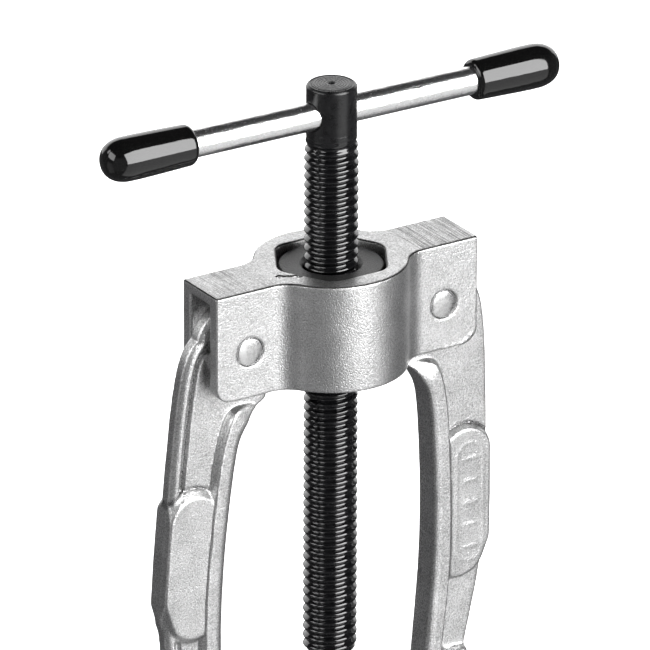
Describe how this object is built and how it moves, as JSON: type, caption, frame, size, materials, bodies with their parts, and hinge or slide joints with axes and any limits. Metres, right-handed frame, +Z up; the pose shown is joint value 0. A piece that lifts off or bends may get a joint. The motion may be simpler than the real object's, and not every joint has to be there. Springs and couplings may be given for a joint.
{
  "type": "gear puller",
  "caption": "Two-jaw gear puller: riveted yoke, swinging forged jaws with inward hooks, knuckle-thread spindle, sliding T-bar with grip caps.",
  "frame": {"origin": "on the spindle's axis, at the level that the jaw hooks stand on", "axes": "+Z up along the spindle towards its head, +X along the yoke towards the right jaw, +Y through the yoke towards the back"},
  "size_m": [0.174, 0.0516, 0.245],
  "materials": {
    "forged_steel": "blasted forging with a thin bright zinc coat",
    "jaw_steel": "coarser blasted forging with a bright zinc coat",
    "pin_steel": "bright riveted steel",
    "black_oxide": "oiled black oxide",
    "nut_black": "matte black phosphate",
    "chrome": "bright chrome",
    "cap_vinyl": "glossy moulded vinyl",
    "hard_steel": "ground hardened steel",
    "spring_steel": "dark spring steel"
  },
  "bodies": {
    "yoke": {"yoke": "forged_steel", "left_pivot_pin": "pin_steel", "right_pivot_pin": "pin_steel", "spindle_nut": "nut_black", "nut_retaining_ring": "spring_steel"},
    "live_centre": {"centre_tip": "hard_steel"},
    "spindle": {"spindle": "black_oxide", "thrust_ball": "hard_steel", "tip_retaining_ring": "spring_steel"},
    "tommy_bar": {"tommy_bar": "chrome", "left_grip_cap": "cap_vinyl", "right_grip_cap": "cap_vinyl"},
    "left_jaw": {"left_jaw": "jaw_steel"},
    "right_jaw": {"right_jaw": "jaw_steel"}
  },
  "joints": [
    {"name": "spindle_feed", "type": "slide", "parent": "yoke", "child": "live_centre", "axis": [0, 0, 1], "range_m": [-0.0415, 0.105]},
    {"name": "spindle_turn", "type": "hinge", "parent": "live_centre", "child": "spindle", "pos_m": [0, 0, 0.18333], "axis": [0, 0, 1], "range_deg": [-4705, 11905]},
    {"name": "bar_slide", "type": "slide", "parent": "spindle", "child": "tommy_bar", "axis": [0.9998, -0.0175, 0], "range_m": [-0.044, 0.044]},
    {"name": "left_jaw_swing", "type": "hinge", "parent": "yoke", "child": "left_jaw", "pos_m": [-0.03784, 0, 0.16168], "axis": [0, 1, 0], "range_deg": [-8, 65.5]},
    {"name": "right_jaw_swing", "type": "hinge", "parent": "yoke", "child": "right_jaw", "pos_m": [0.03784, 0, 0.16168], "axis": [0, -1, 0], "range_deg": [-3.5, 70]}
  ],
  "couplings": [
    {"joint": "spindle_feed", "follows": "spindle_turn", "m_per_rad": 0.00050532}
  ]
}
